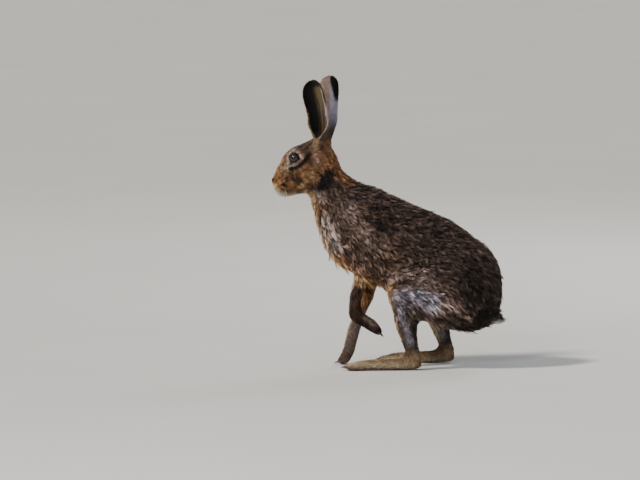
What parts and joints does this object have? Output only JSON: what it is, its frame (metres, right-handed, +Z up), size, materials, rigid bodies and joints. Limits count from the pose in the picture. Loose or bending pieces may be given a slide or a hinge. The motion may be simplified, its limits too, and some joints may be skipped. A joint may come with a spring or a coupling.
{
  "type": "brown hare model",
  "caption": "Life-size still model of a brown hare standing with one forepaw lifted, ears upright, body divided into named parts.",
  "frame": {"origin": "on the floor, under the middle of the model's bounding box", "axes": "+Z up, -X the way the hare looks, -Y its left side"},
  "size_m": [0.3828, 0.143, 0.4815],
  "materials": {
    "coat_head": "short ochre fur ticked with black",
    "coat_neck": "rufous fur",
    "coat_chest": "shaggy rufous fur",
    "coat_body": "dark umber fur in damp streaks",
    "coat_haunch": "grey-brown fur",
    "coat_leg": "short brown fur",
    "coat_paw": "dense short tan fur",
    "coat_tail": "black above, white below",
    "coat_ear": "very short fur, black at the tip",
    "eye": "wet dark amber gloss"
  },
  "bodies": {
    "root": {"head": "coat_head", "neck": "coat_neck", "chest": "coat_chest", "torso": "coat_body", "tail": "coat_tail", "haunch_left": "coat_haunch", "haunch_right": "coat_haunch", "shank_left": "coat_leg", "shank_right": "coat_leg", "foreleg_left": "coat_leg", "foreleg_right": "coat_leg", "forepaw_left": "coat_paw", "forepaw_right": "coat_paw", "hind_foot_left": "coat_paw", "hind_foot_right": "coat_paw", "ear_left": "coat_ear", "ear_right": "coat_ear", "eye_left": "eye", "eye_right": "eye"}
  },
  "joints": []
}
